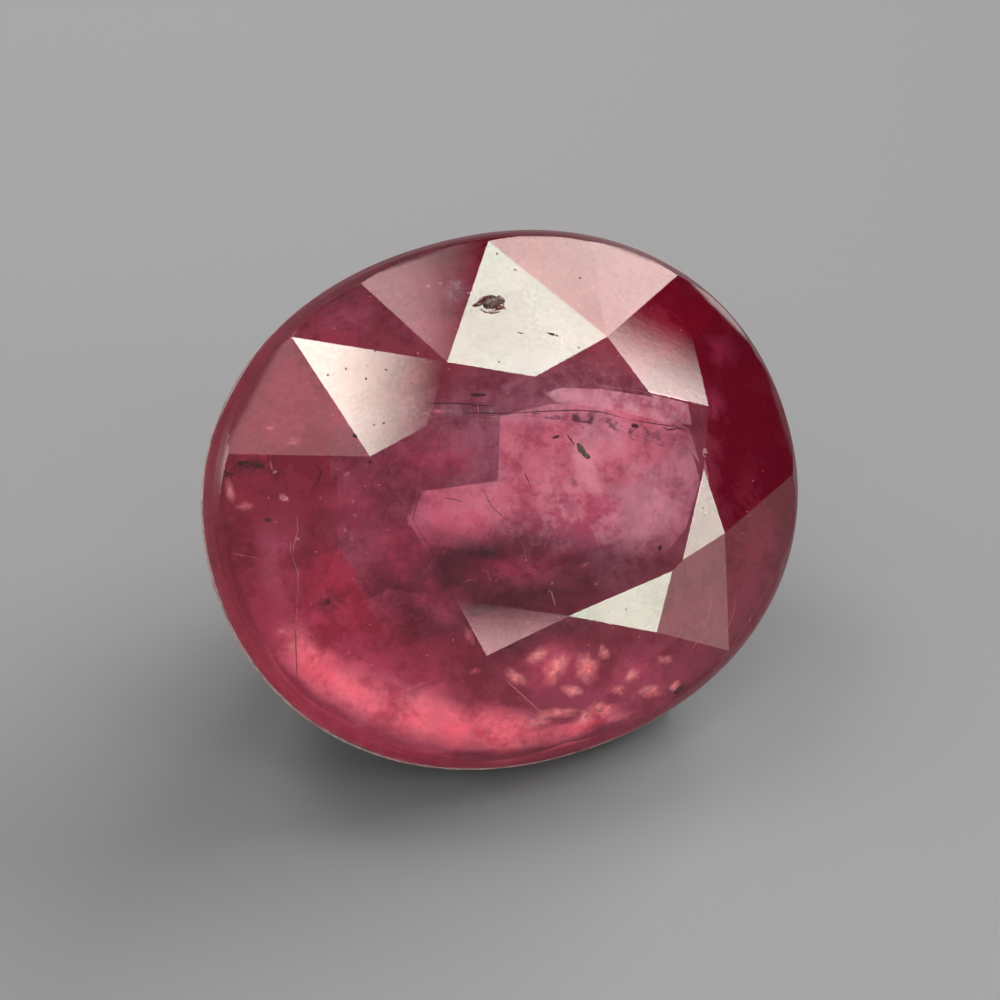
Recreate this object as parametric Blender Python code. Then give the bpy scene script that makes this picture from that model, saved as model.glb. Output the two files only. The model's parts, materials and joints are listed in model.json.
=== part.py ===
"""Rubellite tourmaline, one loose cut stone.

An oval mixed cut: a brilliant crown of table, stars, kites and upper girdle facets over a
step-cut pavilion that ends in a keel. The stone lies on the long side facet of its middle
pavilion step, so its table faces the viewer. It is worked out in its own frame first, in
millimetres: +X along the long axis, +Z out of the table, the crown's outer edge at height 0.
"""
import math

import bmesh
import bpy
import numpy as np
from mathutils import Euler, Matrix, Vector

MM = 0.001

# The oval outline, a superellipse
HALF_LENGTH = 5.80
HALF_WIDTH = 4.92
OVAL_POWER = 2.13
OUTLINE_POINTS = 168

# Girdle rings: height above the crown's edge, and size as a share of the oval
GIRDLE_RINGS = ((0.0, 0.954), (-0.22, 0.981), (-0.45, 0.997), (-0.60, 1.0), (-0.76, 0.992))
BLANK_TOP = 1.6
BLANK_BOTTOM = -5.6

# Crown
TABLE_HEIGHT = 1.40
TABLE_CENTRE = (0.40, 0.00)

# Kite facets in turn: where the tip meets the crown's edge, the way the facet faces, its slope.
# All are in degrees, slopes from the girdle plane.
KITES = (
    (77.5, 79.8, 26.9),
    (34.5, 43.6, 27.9),
    (-12.6, -9.6, 32.0),
    (-52.1, -62.4, 34.4),
    (-96.6, -92.5, 32.1),
    (-145.0, -147.0, 27.4),
    (172.3, 176.9, 24.4),
    (128.6, 120.3, 26.6),
)

# Between each kite and the next, in turn: the mid-girdle point's angle, the star point's height
# as a share of the crown, and the table corners of the star facet, as angles at the table's centre
GAPS = (
    (55.1, 0.773, 83.0, 24.1),
    (11.9, 0.84, 24.1, -12.7),
    (-31.1, 0.875, -12.7, -48.4),
    (-73.7, 0.684, -54.2, -102.5),
    (-125.9, 0.862, -102.5, -148.0),
    (-165.8, 0.793, -148.0, 178.5),
    (155.8, 0.864, 178.5, 141.8),
    (109.3, 0.833, 141.8, 83.0),
)

# Pavilion steps run between these levels: height, half length and half width of the outline there
PAVILION_LEVELS = (
    (-0.72, 5.74, 4.87),
    (-1.50, 5.26, 4.42),
    (-4.20, 2.72, 1.52),
    (-5.02, 1.75, 0.0),
)
# The ways the pavilion's facets face, in degrees
PAVILION_SECTORS = (-90.0, -50.0, -19.0, 14.0, 45.0, 90.0, 133.0, 164.0, 196.0, 229.0)

# Turn of the stone about the upright axis, as it lies
LYING_TURN = 24.4

# An open pit in the first kite: its place on the facet, its outline about that place, its depth
PIT_PLACE = (0.48, 3.48)
PIT_OUTLINE = (
    (-0.35, 0.05), (-0.32, 0.01), (-0.22, -0.01), (-0.15, 0.0), (-0.16, -0.08), (-0.13, -0.15),
    (-0.02, -0.20), (0.10, -0.20), (0.21, -0.21), (0.18, -0.10), (0.26, -0.08), (0.22, 0.03),
    (0.16, 0.05), (0.10, 0.12), (0.01, 0.17), (-0.07, 0.16), (-0.19, 0.11),
)
PIT_DEPTH = 0.12
PIT_FLOOR_SHARE = 0.5

# Cutting tolerances, in millimetres, and the bend in degrees below which faces are one facet
ON_PLANE = 1e-4
WELD = 0.02
FLAT = 0.05


def oval(angle, share=1.0):
    """Point of the oval outline, shrunk by a share, in the direction of an angle in radians."""
    x, y = math.cos(angle), math.sin(angle)
    reach = (abs(x / HALF_LENGTH) ** OVAL_POWER + abs(y / HALF_WIDTH) ** OVAL_POWER) ** (-1 / OVAL_POWER)
    return x * reach * share, y * reach * share


def outline(share):
    """All points of the outline, spaced evenly by the angle of a circle stretched to the oval."""
    turn = np.arange(OUTLINE_POINTS) * 2 * math.pi / OUTLINE_POINTS
    angles = np.arctan2(HALF_WIDTH * np.sin(turn), HALF_LENGTH * np.cos(turn))
    return [oval(angle, share) for angle in angles]


def edge_point(degrees):
    """Point on the crown's outer edge, at height 0."""
    x, y = oval(math.radians(degrees), GIRDLE_RINGS[0][1])
    return Vector((x, y, 0.0))


def facing(degrees, slope):
    """Outward direction of a crown facet."""
    angle, tilt = math.radians(degrees), math.radians(slope)
    return Vector((math.cos(angle) * math.sin(tilt), math.sin(angle) * math.sin(tilt), math.cos(tilt)))


def through(a, b, c):
    """Plane through three points, facing up: a point and a direction."""
    normal = (b - a).cross(c - a).normalized()
    return a, normal if normal.z > 0 else -normal


def kite_plane(row):
    tip, face, slope = row
    return edge_point(tip), facing(face, slope)


def table_corner(kite, degrees):
    """Where the kite meets the table, in the direction of an angle at the table's centre."""
    point, normal = kite
    centre = Vector((*TABLE_CENTRE, TABLE_HEIGHT))
    way = Vector((math.cos(math.radians(degrees)), math.sin(math.radians(degrees)), 0.0))
    return centre + way * (normal.dot(point - centre) / normal.dot(way))


def shared_point(kite, other, height):
    """Point of the ridge between two kites at a height."""
    rows = np.array([kite[1][:], other[1][:], (0.0, 0.0, 1.0)])
    offsets = (kite[1].dot(kite[0]), other[1].dot(other[0]), height)
    return Vector(np.linalg.solve(rows, offsets))


def crown_planes():
    """Table, kites, stars and upper girdle facets, each as a point and an outward direction."""
    kites = [kite_plane(row) for row in KITES]
    planes = [(Vector((0.0, 0.0, TABLE_HEIGHT)), Vector((0.0, 0.0, 1.0))), *kites]
    for index, (middle, share, first_corner, last_corner) in enumerate(GAPS):
        kite = kites[index]
        after = kites[(index + 1) % len(kites)]
        star = shared_point(kite, after, share * TABLE_HEIGHT)
        planes.append(through(table_corner(kite, first_corner), table_corner(after, last_corner), star))
        planes.append(through(kite[0], edge_point(middle), star))
        planes.append(through(after[0], edge_point(middle), star))
    return planes


def level_reach(level, angle):
    """How far an ellipse of the level's half length and half width reaches towards an angle."""
    _, length, width = level
    return math.hypot(length * math.cos(angle), width * math.sin(angle))


def pavilion_planes():
    """Step facets: in each sector, each step's plane touches the outlines of its two levels."""
    planes = []
    for degrees in PAVILION_SECTORS:
        angle = math.radians(degrees)
        for upper, lower in zip(PAVILION_LEVELS, PAVILION_LEVELS[1:]):
            reach = level_reach(upper, angle)
            run = reach - level_reach(lower, angle)
            drop = upper[0] - lower[0]
            point = Vector((reach * math.cos(angle), reach * math.sin(angle), upper[0]))
            normal = Vector((drop * math.cos(angle), drop * math.sin(angle), -run)).normalized()
            planes.append((point, normal))
    return planes


def blank():
    """The stone before faceting: the girdle's rings, with a straight-sided block above and below them."""
    mesh = bmesh.new()
    rings = []
    top, bottom = (BLANK_TOP, GIRDLE_RINGS[0][1]), (BLANK_BOTTOM, GIRDLE_RINGS[-1][1])
    for height, share in (top, *GIRDLE_RINGS, bottom):
        rings.append([mesh.verts.new((x, y, height)) for x, y in outline(share)])
    for upper, lower in zip(rings, rings[1:]):
        for i in range(OUTLINE_POINTS):
            j = (i + 1) % OUTLINE_POINTS
            mesh.faces.new((upper[i], lower[i], lower[j], upper[j]))
    mesh.faces.new(rings[0])
    mesh.faces.new(reversed(rings[-1]))
    bmesh.ops.recalc_face_normals(mesh, faces=mesh.faces)
    return mesh


def grind(mesh, point, normal):
    """Take away what lies outside a plane and close the stone with the new facet."""
    everything = [*mesh.verts, *mesh.edges, *mesh.faces]
    bmesh.ops.bisect_plane(
        mesh, geom=everything, dist=ON_PLANE, plane_co=point, plane_no=normal, clear_outer=True)
    open_edges = [edge for edge in mesh.edges if edge.is_boundary]
    if open_edges:
        bmesh.ops.holes_fill(mesh, edges=open_edges)


def paint(name, colour, roughness):
    """Plain material of one sub-part."""
    material = bpy.data.materials.new(name)
    material.use_nodes = True
    shader = material.node_tree.nodes["Principled BSDF"]
    shader.inputs["Base Color"].default_value = (*colour, 1.0)
    shader.inputs["Roughness"].default_value = roughness
    shader.inputs["Metallic"].default_value = 0.0
    shader.inputs["IOR"].default_value = 1.624
    shader.inputs["Transmission Weight"].default_value = 0.6
    return material


def sink_pit(mesh, kite):
    """Open the facet along the pit's outline, whose walls lean in to a smaller, deeper floor."""
    point, normal = kite
    facet = max(mesh.faces, key=lambda face: (face.normal.dot(normal) > 0.9999) * face.calc_area())
    x, y = PIT_PLACE
    height = point.z - (normal.x * (x - point.x) + normal.y * (y - point.y)) / normal.z
    across = Vector((1.0, 0.0, -normal.x / normal.z)).normalized()
    turn = Matrix((across, normal.cross(across), normal)).transposed()
    place = Vector((x, y, height))
    rim, floor = [
        [mesh.verts.new(place + turn @ Vector((u * share, v * share, -depth))) for u, v in PIT_OUTLINE]
        for share, depth in ((1.0, 0.0), (PIT_FLOOR_SHARE, PIT_DEPTH))]
    count = len(PIT_OUTLINE)
    for i in range(count):
        j = (i + 1) % count
        mesh.faces.new((rim[i], floor[i], floor[j], rim[j]))
    mesh.faces.new(floor)
    rim_edges = [mesh.edges.get((rim[i], rim[(i + 1) % count])) for i in range(count)]
    facet_edges = list(facet.edges)
    mesh.faces.remove(facet)
    bmesh.ops.triangle_fill(mesh, edges=facet_edges + rim_edges, use_beauty=True)


def stone():
    """The whole stone, laid down on its resting facet with the middle of its box over the origin."""
    mesh = blank()
    for point, normal in (*crown_planes(), *pavilion_planes()):
        grind(mesh, point, normal)
    bmesh.ops.remove_doubles(mesh, verts=mesh.verts, dist=WELD)
    bmesh.ops.dissolve_degenerate(mesh, dist=WELD, edges=mesh.edges)
    bmesh.ops.dissolve_limit(
        mesh, angle_limit=math.radians(FLAT), verts=mesh.verts, edges=mesh.edges, delimit=set())
    sink_pit(mesh, kite_plane(KITES[0]))
    bmesh.ops.triangulate(mesh, faces=mesh.faces[:])
    bmesh.ops.recalc_face_normals(mesh, faces=mesh.faces[:])

    (top, _, wide), (bottom, _, narrow) = PAVILION_LEVELS[1:3]
    rest_slope = math.atan2(top - bottom, wide - narrow)
    lie = Euler((rest_slope, 0.0, math.radians(LYING_TURN))).to_matrix()
    turned = np.array([lie @ vert.co for vert in mesh.verts]) * MM
    low, high = turned.min(axis=0), turned.max(axis=0)

    data = bpy.data.meshes.new("rubellite_stone")
    mesh.transform(Matrix.Scale(MM, 4))
    mesh.to_mesh(data)
    mesh.free()
    data.materials.append(paint("rubellite", (0.42, 0.06, 0.12), 0.03))
    gem = bpy.data.objects.new("rubellite_stone", data)
    gem.rotation_euler = lie.to_euler()
    gem.location = (-(low[0] + high[0]) / 2, -(low[1] + high[1]) / 2, -low[2])
    bpy.context.collection.objects.link(gem)
    return gem


def main():
    for item in list(bpy.data.objects):
        bpy.data.objects.remove(item)
    stone()


main()
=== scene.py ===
import json
import math

import bmesh
import bpy
import numpy as np
from bpy.props import FloatProperty, FloatVectorProperty, IntProperty, PointerProperty
from mathutils import Matrix, Vector
from mathutils.bvhtree import BVHTree


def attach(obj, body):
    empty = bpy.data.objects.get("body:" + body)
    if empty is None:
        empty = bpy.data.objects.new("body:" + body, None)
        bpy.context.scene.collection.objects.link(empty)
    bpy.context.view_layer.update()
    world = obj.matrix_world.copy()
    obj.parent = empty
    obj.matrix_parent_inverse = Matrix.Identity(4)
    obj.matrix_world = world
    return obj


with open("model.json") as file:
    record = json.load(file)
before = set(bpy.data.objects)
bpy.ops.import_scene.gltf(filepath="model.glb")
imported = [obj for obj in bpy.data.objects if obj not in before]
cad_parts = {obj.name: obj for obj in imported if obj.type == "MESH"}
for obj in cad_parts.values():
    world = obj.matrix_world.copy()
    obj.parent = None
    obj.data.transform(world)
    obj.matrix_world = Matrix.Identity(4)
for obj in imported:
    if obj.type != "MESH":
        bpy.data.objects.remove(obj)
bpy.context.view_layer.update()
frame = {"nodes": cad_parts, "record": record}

bl_info = {
    "name": "Rubellite tourmaline",
    "version": (1, 0, 0),
    "blender": (4, 5, 0),
    "location": "3D View > Sidebar > Rubellite",
    "description": "Dresses a loose oval-cut rubellite and sets it in a plain studio",
    "category": "Object",
}

MM = 0.001
STONE = "rubellite_stone"

# The stone's own frame has +X along the long axis, +Z out of the table and the crown's edge at
# height 0. This is the table's centre in it, in millimetres.
TABLE_CENTRE = Vector((0.40, 0.0, 1.40))


def stone_frame():
    """The stone's own frame in the world: a turn about X, then one about Z, read off the mount on
    the table. Returns the turn and the frame's middle."""
    mount = next(item for item in frame["record"]["mounts"] if item["name"] == "table")
    normal = Vector(mount["axis"])
    tip = math.acos(normal.z)
    turn = math.atan2(normal.x, -normal.y)
    rotation = Matrix.Rotation(turn, 3, "Z") @ Matrix.Rotation(tip, 3, "X")
    middle = Vector(mount["pos_m"]) - rotation @ (TABLE_CENTRE * MM)
    return rotation, middle


STONE_TURN, STONE_MIDDLE = stone_frame()


class Value:
    """A socket of a shader node that can be written in sums, or a plain number beside one."""

    def __init__(self, tree, socket):
        self.tree = tree
        self.socket = socket

    def _maths(self, operation, *values):
        return node(self.tree, "ShaderNodeMath", {"operation": operation}, dict(enumerate(values)))

    def __add__(self, other):
        return self._maths("ADD", self, other)

    def __sub__(self, other):
        return self._maths("SUBTRACT", self, other)

    def __mul__(self, other):
        return self._maths("MULTIPLY", self, other)

    def __truediv__(self, other):
        return self._maths("DIVIDE", self, other)

    def __rsub__(self, other):
        return self._maths("SUBTRACT", other, self)

    __radd__ = __add__
    __rmul__ = __mul__


def node(tree, kind, settings=None, values=None, out=0):
    """Add a node: its settings first, then its sockets' values or links.
    Returns one of its outputs, or nothing where it has none."""
    made = tree.nodes.new(kind)
    for name, value in (settings or {}).items():
        setattr(made, name, value)
    for name, value in (values or {}).items():
        if isinstance(value, Value):
            tree.links.new(value.socket, made.inputs[name])
        else:
            made.inputs[name].default_value = value
    return Value(tree, made.outputs[out]) if made.outputs else None


def vector_maths(tree, operation, values, out=0):
    """Sum on vectors. Where its result is a number, that is output 1."""
    return node(tree, "ShaderNodeVectorMath", {"operation": operation}, values, out)


def object_place(tree):
    """A point's Object coordinates, in metres."""
    return node(tree, "ShaderNodeTexCoord", out=3)


def empty_material(name):
    """A new material and its node tree, which is still empty."""
    material = bpy.data.materials.new(name)
    material.use_nodes = True
    material.node_tree.nodes.clear()
    return material, material.node_tree


def stone_place(tree):
    """A point's place in the stone's own frame, in millimetres: along, across and over its girdle."""
    place = object_place(tree)
    rows = []
    for axis in STONE_TURN.transposed():
        along = vector_maths(tree, "DOT_PRODUCT", {0: place, 1: axis[:]}, out=1)
        rows.append((along - axis.dot(STONE_MIDDLE)) * (1.0 / MM))
    return rows


def ramp(tree, value, low, high, at_low, at_high):
    """Smooth change from one number to another while a value goes from low to high."""
    return node(tree, "ShaderNodeMapRange", {"interpolation_type": "SMOOTHSTEP"}, {
        "Value": value, "From Min": low, "From Max": high, "To Min": at_low, "To Max": at_high})


def noise(tree, size, detail, roughness, seed):
    """Cloudy pattern from 0 to 1 whose blotches are about size millimetres across. The seed moves
    the pattern along, so that patterns of other seeds differ."""
    moved = node(tree, "ShaderNodeMapping", None, {
        "Vector": object_place(tree), "Location": (seed, seed * 0.7, seed * 1.3)})
    return node(tree, "ShaderNodeTexNoise", None, {
        "Vector": moved, "Scale": 1.0 / (size * MM), "Detail": detail, "Roughness": roughness})


def blend_colour(tree, share, first, second):
    """Colour that goes from the first to the second with a share from 0 to 1."""
    values = {0: share, 6: first, 7: second}
    return node(tree, "ShaderNodeMix", {"data_type": "RGBA"}, values, out=2)


def zone(tree, along, across, middle, reach, edge):
    """1 inside a soft oval area over the stone's plan and 0 outside it; edge is how soft it is."""
    x = (along - middle[0]) / reach[0]
    y = (across - middle[1]) / reach[1]
    apart = node(tree, "ShaderNodeMath", {"operation": "SQRT"}, {0: x * x + y * y})
    return ramp(tree, apart, 1.0 - edge, 1.0 + edge, 1.0, 0.0)


def zones(tree, along, across, rows):
    """Sum of soft oval areas, each with its own amount."""
    total = 0.0
    for middle, reach, edge, amount in rows:
        total = zone(tree, along, across, middle, reach, edge) * amount + total
    return total


# Tints of the body's skin, which colour the light that goes in and out through it
BODY_TINT = (1.0, 0.66, 0.73, 1.0)
ROSE_TINT = (1.0, 0.26, 0.42, 1.0)
DEEP_TINT = (0.44, 0.07, 0.16, 1.0)

# Zones over the stone's plan: middle and reach in millimetres, softness, amount
TINT_ZONES = (
    ((5.4, 0.3), (1.75, 2.9), 0.25, 0.85),
    ((-1.3, -1.6), (2.6, 0.8), 0.50, 0.35),
    ((-3.6, 1.4), (1.3, 0.5), 0.50, 0.45),
)
ROSE_ZONES = (
    ((-2.9, 0.7), (1.1, 1.1), 0.45, 1.0),
    ((-2.3, -0.9), (1.2, 0.8), 0.50, 0.8),
)
# The deep zones wander by up to half of this, in millimetres
WANDER = 2.2

# Mottling: blotch in millimetres, the pattern's levels where it starts and is full, amount
MOTTLE_SIZE = 0.8
MOTTLE_LEVELS = (0.40, 0.64)
MOTTLE_AMOUNT = 0.95

# Deep band under the crown's edge: the heights over which it comes and goes, in millimetres, amount
BAND_TOP = (-0.06, 0.0)
BAND_BOTTOM = (-0.62, -0.30)
BAND_AMOUNT = 0.75


def body_tint(tree):
    """Colour zones of the body: mottled everywhere, rosy on the left, deep crimson at the right
    end, in two weaker zones and in a band under the crown's edge."""
    along, across, over = stone_place(tree)
    x = along + (noise(tree, 1.9, 1.0, 0.6, 3.0) - 0.5) * WANDER
    y = across + (noise(tree, 1.5, 1.0, 0.6, 8.0) - 0.5) * WANDER
    rosy = blend_colour(tree, zones(tree, along, across, ROSE_ZONES), BODY_TINT, ROSE_TINT)
    depth = zones(tree, x, y, TINT_ZONES)
    mottle = ramp(tree, noise(tree, MOTTLE_SIZE, 4.0, 0.78, 5.0), *MOTTLE_LEVELS, 0.0, MOTTLE_AMOUNT)
    share = node(tree, "ShaderNodeMath", {"operation": "MINIMUM"}, {0: depth + mottle, 1: 1.0})
    body = blend_colour(tree, share, rosy, DEEP_TINT)
    band = ramp(tree, over, *BAND_TOP, 1.0, 0.0) * ramp(tree, over, *BAND_BOTTOM, 0.0, 1.0)
    return blend_colour(tree, band * BAND_AMOUNT, body, DEEP_TINT)


# Smooth egg that the hazy pavilion is drawn towards: half size and middle along each axis of the
# stone, in millimetres, and a factor that brings its arrows near length 1. It takes hold between
# these heights.
EGG = ((5.8, 0.0), (4.9, 0.0), (5.0, -0.2))
EGG_FACTOR = 5.0
EGG_HEIGHTS = (-1.0, -0.7)


def pavilion_normal(tree, along, across, over, share):
    """Facet normals of the pavilion, drawn some way towards those of a smooth egg of the same size.
    An egg's normal runs along each axis as the place there over the square of the half size."""
    facet = node(tree, "ShaderNodeNewGeometry", out="Normal")
    side = 1.0 - node(tree, "ShaderNodeNewGeometry", out="Backfacing") * 2.0
    parts = []
    for place, (half, middle) in zip((along, across, over), EGG):
        parts.append((place - middle) / (half * half) * side * EGG_FACTOR)
    arrows = [vector_maths(tree, "SCALE", {0: axis[:], 3: part})
              for part, axis in zip(parts, STONE_TURN.transposed())]
    egg = arrows[0]
    for arrow in arrows[1:]:
        egg = vector_maths(tree, "ADD", {0: egg, 1: arrow})
    egg = vector_maths(tree, "NORMALIZE", {0: egg})
    below = ramp(tree, over, *EGG_HEIGHTS, share, 0.0)
    mixed = node(tree, "ShaderNodeMix", {"data_type": "VECTOR"}, {0: below, 4: facet, 5: egg}, out=1)
    return vector_maths(tree, "NORMALIZE", {0: mixed})


# Heights over which the haze of the girdle gives way to the crown's polish, in millimetres
HAZE_HEIGHTS = (-0.15, 0.0)

# Worn places: blotch in millimetres, the pattern's levels where they start and are full, roughness
WEAR_SIZE = 0.5
WEAR_LEVELS = (0.60, 0.80)
WEAR_ROUGHNESS = 0.05

# Fine waves in the polish: their size and height in millimetres, and how strongly they show
RIPPLE_SIZE = 0.11
RIPPLE_HEIGHT = 0.01
RIPPLE_STRENGTH = 0.007


def rubellite_material(settings):
    """Clear body that takes up light on its way, in a skin that is polished on the crown, hazy
    below it, a little worn in places and finely rippled."""
    material, tree = empty_material("rubellite")
    along, across, over = stone_place(tree)
    haze = ramp(tree, over, *HAZE_HEIGHTS, settings.back_polish, settings.polish)
    wear = ramp(tree, noise(tree, WEAR_SIZE, 1.0, 0.7, 2.0), *WEAR_LEVELS, 0.0, WEAR_ROUGHNESS)
    relief = node(tree, "ShaderNodeBump", None, {
        "Strength": RIPPLE_STRENGTH, "Distance": RIPPLE_HEIGHT * MM,
        "Height": noise(tree, RIPPLE_SIZE, 1.0, 0.5, 4.0),
        "Normal": pavilion_normal(tree, along, across, over, settings.softened)})
    surface = node(tree, "ShaderNodeBsdfPrincipled", None, {
        "Base Color": body_tint(tree), "Transmission Weight": 1.0,
        "IOR": settings.ior, "Roughness": haze + wear, "Normal": relief})
    inside = node(tree, "ShaderNodeVolumeAbsorption", None, {
        "Color": (*settings.body_colour, 1.0), "Density": settings.body_density})
    node(tree, "ShaderNodeOutputMaterial", None, {"Surface": surface, "Volume": inside})
    return material


# Matter in and on the stone: paler and deeper colour, blotch in millimetres, roughness, how much of
# it the gaps take away, the pattern's levels where a gap ends and the matter is full, and its glow.
# A word in place of a colour names one of the mark settings.
# Each look's glow is painted light that stands for light which the facets throw on the matter.
NO_GAPS = (0.0, (0.4, 0.6))
LOOKS = {
    "table_veil": ("cloud", "rose", 1.1, 0.8, 0.55, (0.30, 0.72), 0.47),
    "upper_veil": ((0.96, 0.68, 0.74), "cloud", 0.5, 0.8, 0.60, (0.30, 0.65), 0.44),
    "painted_glow_clouds": ("painted_glow", (0.88, 0.24, 0.31), 1.2, 0.8, 0.45, (0.30, 0.72), 0.55),
    "rose_clouds": ((0.88, 0.26, 0.42), (0.74, 0.12, 0.26), 0.7, 0.8, 0.50, (0.35, 0.80), 0.27),
    "dusky_clouds": ((0.24, 0.03, 0.05), (0.10, 0.02, 0.02), 0.3, 0.8, 0.95, (0.36, 0.70), 0.20),
    "mauve_veil": ((0.85, 0.66, 0.72), (0.50, 0.30, 0.40), 0.25, 0.7, 0.8, (0.45, 0.65), 0.25),
    "smoke": ((0.40, 0.18, 0.26), (0.20, 0.08, 0.14), 0.3, 0.7, 0.95, (0.42, 0.75), 0.20),
    "painted_flashes": ("painted_flash", (1.0, 0.36, 0.34), 0.3, 0.3, 0.8, (0.25, 0.80), 0.60),
    "painted_pink_glows": ((1.0, 0.50, 0.50), (0.95, 0.33, 0.34), 0.25, 0.5, 0.7, (0.25, 0.80), 0.40),
    "girdle_bloom": ((0.95, 0.72, 0.62), (0.92, 0.52, 0.50), 0.5, 0.65, 0.5, (0.35, 0.6), 0.0),
    "pale_marks": ("pale", (0.92, 0.50, 0.52), 0.08, 0.45, *NO_GAPS, 0.25),
    "dark_marks": ("dark", (0.30, 0.09, 0.12), 0.08, 0.5, *NO_GAPS, 0.14),
    "green_crystal": ("green", (0.36, 0.38, 0.26), 0.06, 0.35, *NO_GAPS, 0.25),
    "grit": ((0.10, 0.055, 0.05), (0.03, 0.02, 0.02), 0.03, 0.6, *NO_GAPS, 0.0),
    "pit_crumbs": ((0.46, 0.33, 0.29), (0.14, 0.09, 0.08), 0.06, 0.7, *NO_GAPS, 0.10),
    "dust": ((1.0, 0.82, 0.80), (0.90, 0.60, 0.60), 0.05, 0.5, *NO_GAPS, 0.35),
}


def mark_material(name, settings):
    """Matter of one look: two colours in cloudy blotches, with gaps where the look has them.
    The glow is painted light that stands for light which the stone's own facets throw on it."""
    pale, deep, blotch, rough, thin, clear, glow = LOOKS[name]
    shades = [getattr(settings, shade) if isinstance(shade, str) else shade for shade in (pale, deep)]
    material, tree = empty_material(name)
    clouds = ramp(tree, noise(tree, blotch, 2.0, 0.6, 6.0), 0.35, 0.65, 0.0, 1.0)
    colour = blend_colour(tree, clouds, (*shades[0], 1.0), (*shades[1], 1.0))
    values = {"Base Color": colour, "Roughness": rough, "Specular IOR Level": 0.2}
    if glow > 0.0:
        values.update({"Emission Color": colour, "Emission Strength": glow})
    if thin > 0.0:
        cover = node(tree, "ShaderNodeAttribute", {"attribute_name": "cover"}, out=2)
        gaps = ramp(tree, noise(tree, blotch * 0.6, 3.0, 0.65, 9.0), *clear, 1.0 - thin, 1.0)
        values["Alpha"] = cover * gaps
    surface = node(tree, "ShaderNodeBsdfPrincipled", None, values)
    node(tree, "ShaderNodeOutputMaterial", None, {"Surface": surface})
    return material


# Camera: the photo's viewing angle, the lens, the width of what it sees at the stone, and where the
# stone's middle falls in the picture
CAMERA_ELEVATION = math.radians(43.0)
LENS_MM = 180.0
SENSOR_MM = 36.0
FRAME_PX = 1000
FRAME_WIDTH = 18.52 * MM
MIDDLE_PX = (513.5, 493.8)
PIXEL = FRAME_WIDTH / FRAME_PX

VIEW_RIGHT = Vector((1.0, 0.0, 0.0))
VIEW_UP = Vector((0.0, math.sin(CAMERA_ELEVATION), math.cos(CAMERA_ELEVATION)))
VIEW_BACK = Vector((0.0, -math.cos(CAMERA_ELEVATION), math.sin(CAMERA_ELEVATION)))
VIEW_DISTANCE = FRAME_WIDTH * LENS_MM / SENSOR_MM
EYE = (STONE_MIDDLE + VIEW_BACK * VIEW_DISTANCE
       - VIEW_RIGHT * ((MIDDLE_PX[0] - FRAME_PX / 2) * PIXEL)
       + VIEW_UP * ((MIDDLE_PX[1] - FRAME_PX / 2) * PIXEL))


# How far a pixel off the stone is drawn in towards a home pixel, step by step
DRAWN_IN = (0.0, 0.1, 0.2, 0.3, 0.45, 0.6, 0.8, 1.0)


class Inside:
    """Finds the place inside the stone that is seen at a pixel of the photo, at some depth."""

    def __init__(self, ior):
        mesh = frame["nodes"][STONE].data
        corners = [vertex.co for vertex in mesh.vertices]
        self.skin = BVHTree.FromPolygons(corners, [face.vertices for face in mesh.polygons])
        self.ior = ior

    def sight(self, x, y):
        """Direction from the eye through a pixel."""
        across = (x - FRAME_PX / 2) * PIXEL
        down = (y - FRAME_PX / 2) * PIXEL
        return (VIEW_RIGHT * across - VIEW_UP * down - VIEW_BACK * VIEW_DISTANCE).normalized()

    def at(self, x, y, depth, home=None):
        """The sight line is bent at the surface by the law of refraction and followed for depth
        millimetres. A pixel off the stone is drawn in towards its home, if it has one."""
        home = home or (x, y)
        for share in DRAWN_IN:
            sight = self.sight(x + (home[0] - x) * share, y + (home[1] - y) * share)
            place, normal, _, _ = self.skin.ray_cast(EYE, sight)
            if place is not None:
                break
        if place is None:
            raise RuntimeError(f"no stone at pixel {x}, {y}")
        facing = -sight.dot(normal)
        bend = 1.0 / self.ior
        inward = bend * facing - math.sqrt(1.0 - bend * bend * (1.0 - facing * facing))
        return np.array(place + (sight * bend + normal * inward) * (depth * MM))


def grid_faces(rings, sides):
    """Quads between rings of points, each ring closed in itself, and one face on each end."""
    ring, side = np.meshgrid(np.arange(rings - 1), np.arange(sides), indexing="ij")
    here = ring * sides + side
    beside = ring * sides + (side + 1) % sides
    quads = np.stack([here, beside, beside + sides, here + sides], axis=-1).reshape(-1, 4)
    near = np.arange(sides)[::-1]
    far = (rings - 1) * sides + np.arange(sides)
    return [tuple(quad) for quad in quads.tolist()] + [tuple(near.tolist()), tuple(far.tolist())]


# Share of its radius that a needle keeps at its ends
NEEDLE_END = 0.04


def tube(path, radius, sides=8, rings=20):
    """Needle: a circle carried along straight runs between points. Its radius goes with the square
    root of half a sine wave, down to almost nothing at both ends."""
    path = np.asarray(path)
    t = np.linspace(0.0, 1.0, rings)
    knots = np.linspace(0.0, 1.0, len(path))
    spine = np.stack([np.interp(t, knots, path[:, i]) for i in range(3)], axis=1)
    run = np.gradient(spine, axis=0)
    run /= np.linalg.norm(run, axis=1)[:, None]
    first = np.cross(run, np.array(VIEW_BACK))
    first /= np.linalg.norm(first, axis=1)[:, None]
    second = np.cross(run, first)
    girth = radius * MM * (NEEDLE_END + (1.0 - NEEDLE_END) * np.sin(np.pi * t) ** 0.5)
    a = np.linspace(0.0, 2.0 * np.pi, sides, endpoint=False)
    ring = np.cos(a)[None, :, None] * first[:, None] + np.sin(a)[None, :, None] * second[:, None]
    points = spine[:, None] + girth[:, None, None] * ring
    return points.reshape(-1, 3), grid_faces(rings, sides), np.ones(rings * sides)


# Angle in radians by which a grain's first and last rings stay off its poles, and its unevenness
POLE_GAP = 0.06
WAVINESS = 0.22


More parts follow.
